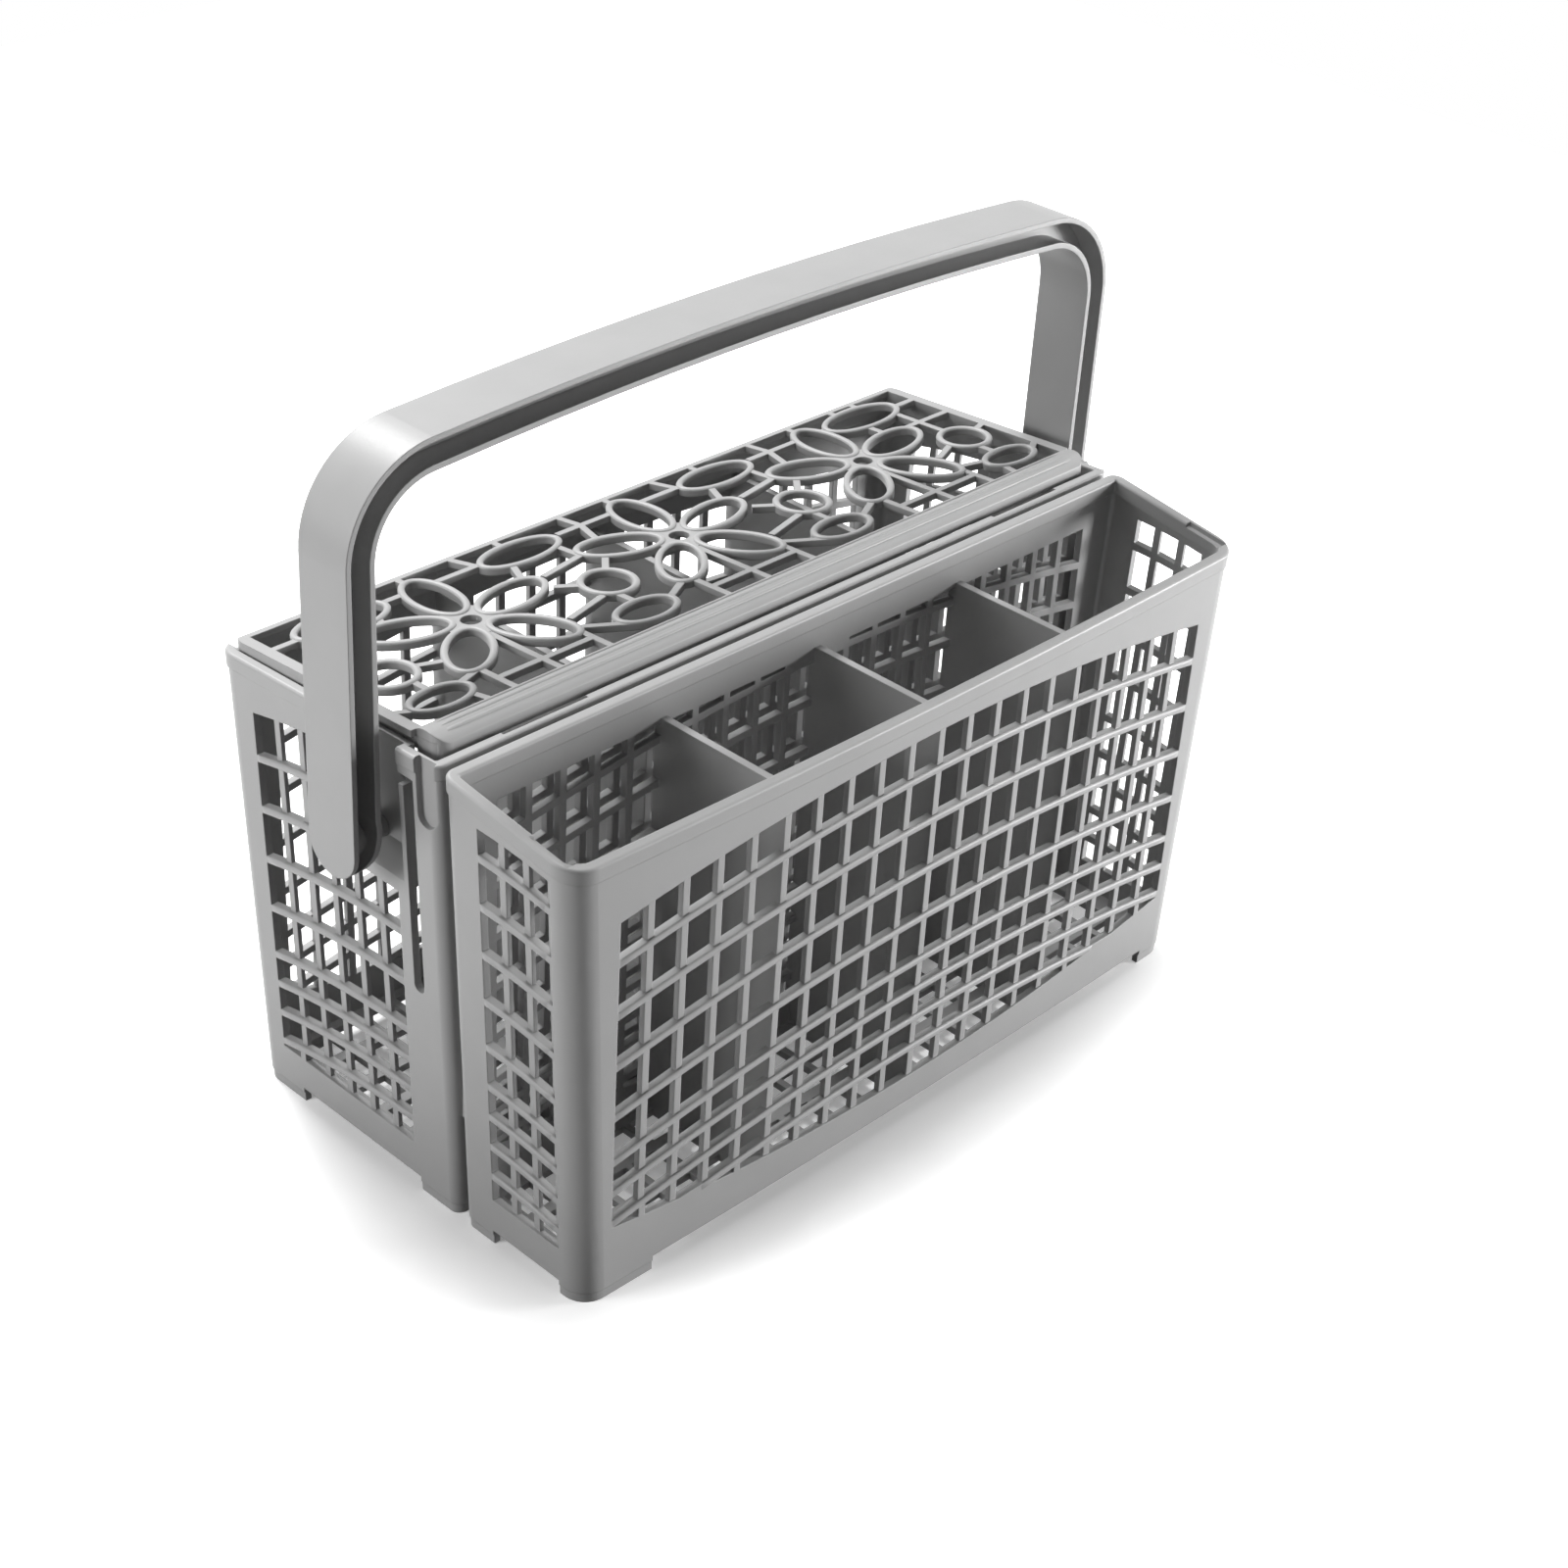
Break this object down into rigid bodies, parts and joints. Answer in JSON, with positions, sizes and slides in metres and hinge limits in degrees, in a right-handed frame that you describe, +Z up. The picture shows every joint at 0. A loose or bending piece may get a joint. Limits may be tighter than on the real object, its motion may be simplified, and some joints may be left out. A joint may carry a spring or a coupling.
{
  "type": "dishwasher cutlery basket",
  "caption": "Grilled cutlery basket for a dishwasher, in two tapered tubs with dividers, with a hinged lattice lid over the rear tub and an arched folding handle",
  "frame": {"origin": "middle of the footprint on the floor", "axes": "+X along the length, -Y the front with the shallow basket, +Z up"},
  "size_m": [0.251, 0.1239, 0.1997],
  "materials": {
    "rear_basket": "fine satin",
    "front_basket": "fine satin",
    "lid": "fine satin",
    "handle": "fine satin"
  },
  "bodies": {
    "basket": {"rear_basket": "rear_basket", "front_basket": "front_basket"},
    "lid": {"lid": "lid"},
    "handle": {"handle": "handle"}
  },
  "joints": [
    {"name": "lid_hinge", "type": "hinge", "parent": "basket", "child": "lid", "pos_m": [0, 0.05787, 0.1235], "axis": [-1, 0, 0], "range_deg": [0, 105]},
    {"name": "handle_fold", "type": "hinge", "parent": "basket", "child": "handle", "pos_m": [0, 0.0074, 0.1015], "axis": [1, 0, 0], "range_deg": [-90, 90]}
  ]
}
